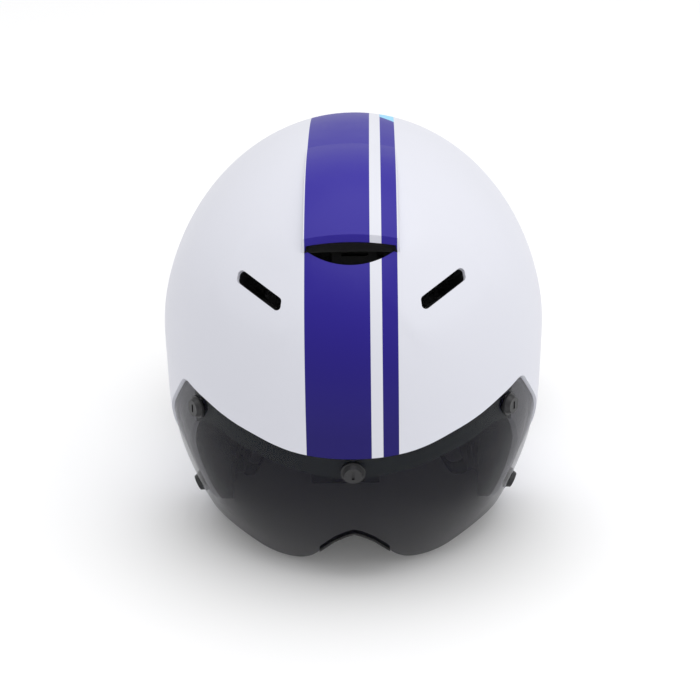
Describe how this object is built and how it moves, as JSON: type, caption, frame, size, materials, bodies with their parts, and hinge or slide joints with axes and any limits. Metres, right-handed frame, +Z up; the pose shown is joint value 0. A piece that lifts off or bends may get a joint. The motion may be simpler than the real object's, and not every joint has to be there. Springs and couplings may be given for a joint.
{
  "type": "aero time trial helmet",
  "caption": "Aero time trial helmet: smooth egg-shaped shell with raised intake hood, slit vents, wrap-round smoke lens on magnet knobs, dial-tightened cradle and buckled chin strap.",
  "frame": {"origin": "centre of the bounding box's length and width, on the plane of the ear covers' lower edges", "axes": "+Z up, the wearer looks along -Y, the wearer's left is +X"},
  "size_m": [0.206, 0.2887, 0.2026],
  "materials": {
    "shell_white": "gloss",
    "black_plastic": "satin",
    "foam": "matt moulded foam",
    "pad_cloth": "woven pad cover",
    "webbing": "woven webbing",
    "lens_smoke": "gloss smoke",
    "rubber_black": "matt",
    "magnet_nickel": "nickel plate",
    "screw_steel": "zinc plate"
  },
  "bodies": {
    "helmet": {"outer_shell": "shell_white", "foam_liner": "foam", "rim_wrap": "black_plastic", "brow_band": "black_plastic", "vent_duct_left": "black_plastic", "vent_duct_right": "black_plastic", "intake_duct": "black_plastic", "exhaust_grille": "black_plastic", "shell_magnets": "magnet_nickel", "brow_pad": "pad_cloth", "crown_pad": "pad_cloth", "temple_pad_left": "pad_cloth", "temple_pad_right": "pad_cloth", "upper_pad_left": "pad_cloth", "upper_pad_right": "pad_cloth", "rear_pad_left": "pad_cloth", "rear_pad_right": "pad_cloth", "height_rail": "black_plastic", "strap_anchors_left": "black_plastic", "strap_anchors_right": "black_plastic", "front_strap_left": "webbing", "front_strap_right": "webbing", "rear_strap_left": "webbing", "rear_strap_right": "webbing", "strap_divider_left": "black_plastic", "strap_divider_right": "black_plastic", "chin_strap_left": "webbing", "chin_strap_right": "webbing", "buckle_socket": "black_plastic"},
    "visor": {"visor_lens": "lens_smoke", "visor_knobs": "black_plastic", "visor_magnets": "magnet_nickel", "nose_strip": "rubber_black"},
    "cradle": {"cradle_yoke": "black_plastic", "dial_housing": "black_plastic", "nape_pad": "pad_cloth"},
    "dial": {"drive_pinion": "black_plastic", "dial_knob": "black_plastic", "dial_grip": "rubber_black", "dial_washer": "screw_steel", "dial_screw": "screw_steel"},
    "wing_l": {"wing_left": "black_plastic", "wing_pad_left": "pad_cloth"},
    "wing_r": {"wing_right": "black_plastic", "wing_pad_right": "pad_cloth"},
    "plug": {"buckle_plug": "black_plastic"}
  },
  "joints": [
    {"name": "visor_pull", "type": "slide", "parent": "helmet", "child": "visor", "axis": [0, -1, 0], "range_m": [0, 0.06]},
    {"name": "cradle_height", "type": "slide", "parent": "helmet", "child": "cradle", "axis": [0, 0, 1], "range_m": [-0.009, 0.009]},
    {"name": "dial_turn", "type": "hinge", "parent": "cradle", "child": "dial", "pos_m": [0, 0.074, 0.026], "axis": [0, 1, 0], "range_deg": [-68, 68]},
    {"name": "wing_left_slide", "type": "slide", "parent": "cradle", "child": "wing_l", "axis": [1, 0, 0], "range_m": [-0.006, 0.006]},
    {"name": "wing_right_slide", "type": "slide", "parent": "cradle", "child": "wing_r", "axis": [1, 0, 0], "range_m": [-0.006, 0.006]},
    {"name": "buckle_release", "type": "slide", "parent": "helmet", "child": "plug", "axis": [1, 0, 0], "range_m": [0, 0.022], "deforming": ["chin_strap_left"]}
  ],
  "couplings": [
    {"joint": "wing_left_slide", "follows": "dial_turn", "m_per_rad": -0.005},
    {"joint": "wing_right_slide", "follows": "dial_turn", "m_per_rad": 0.005}
  ]
}
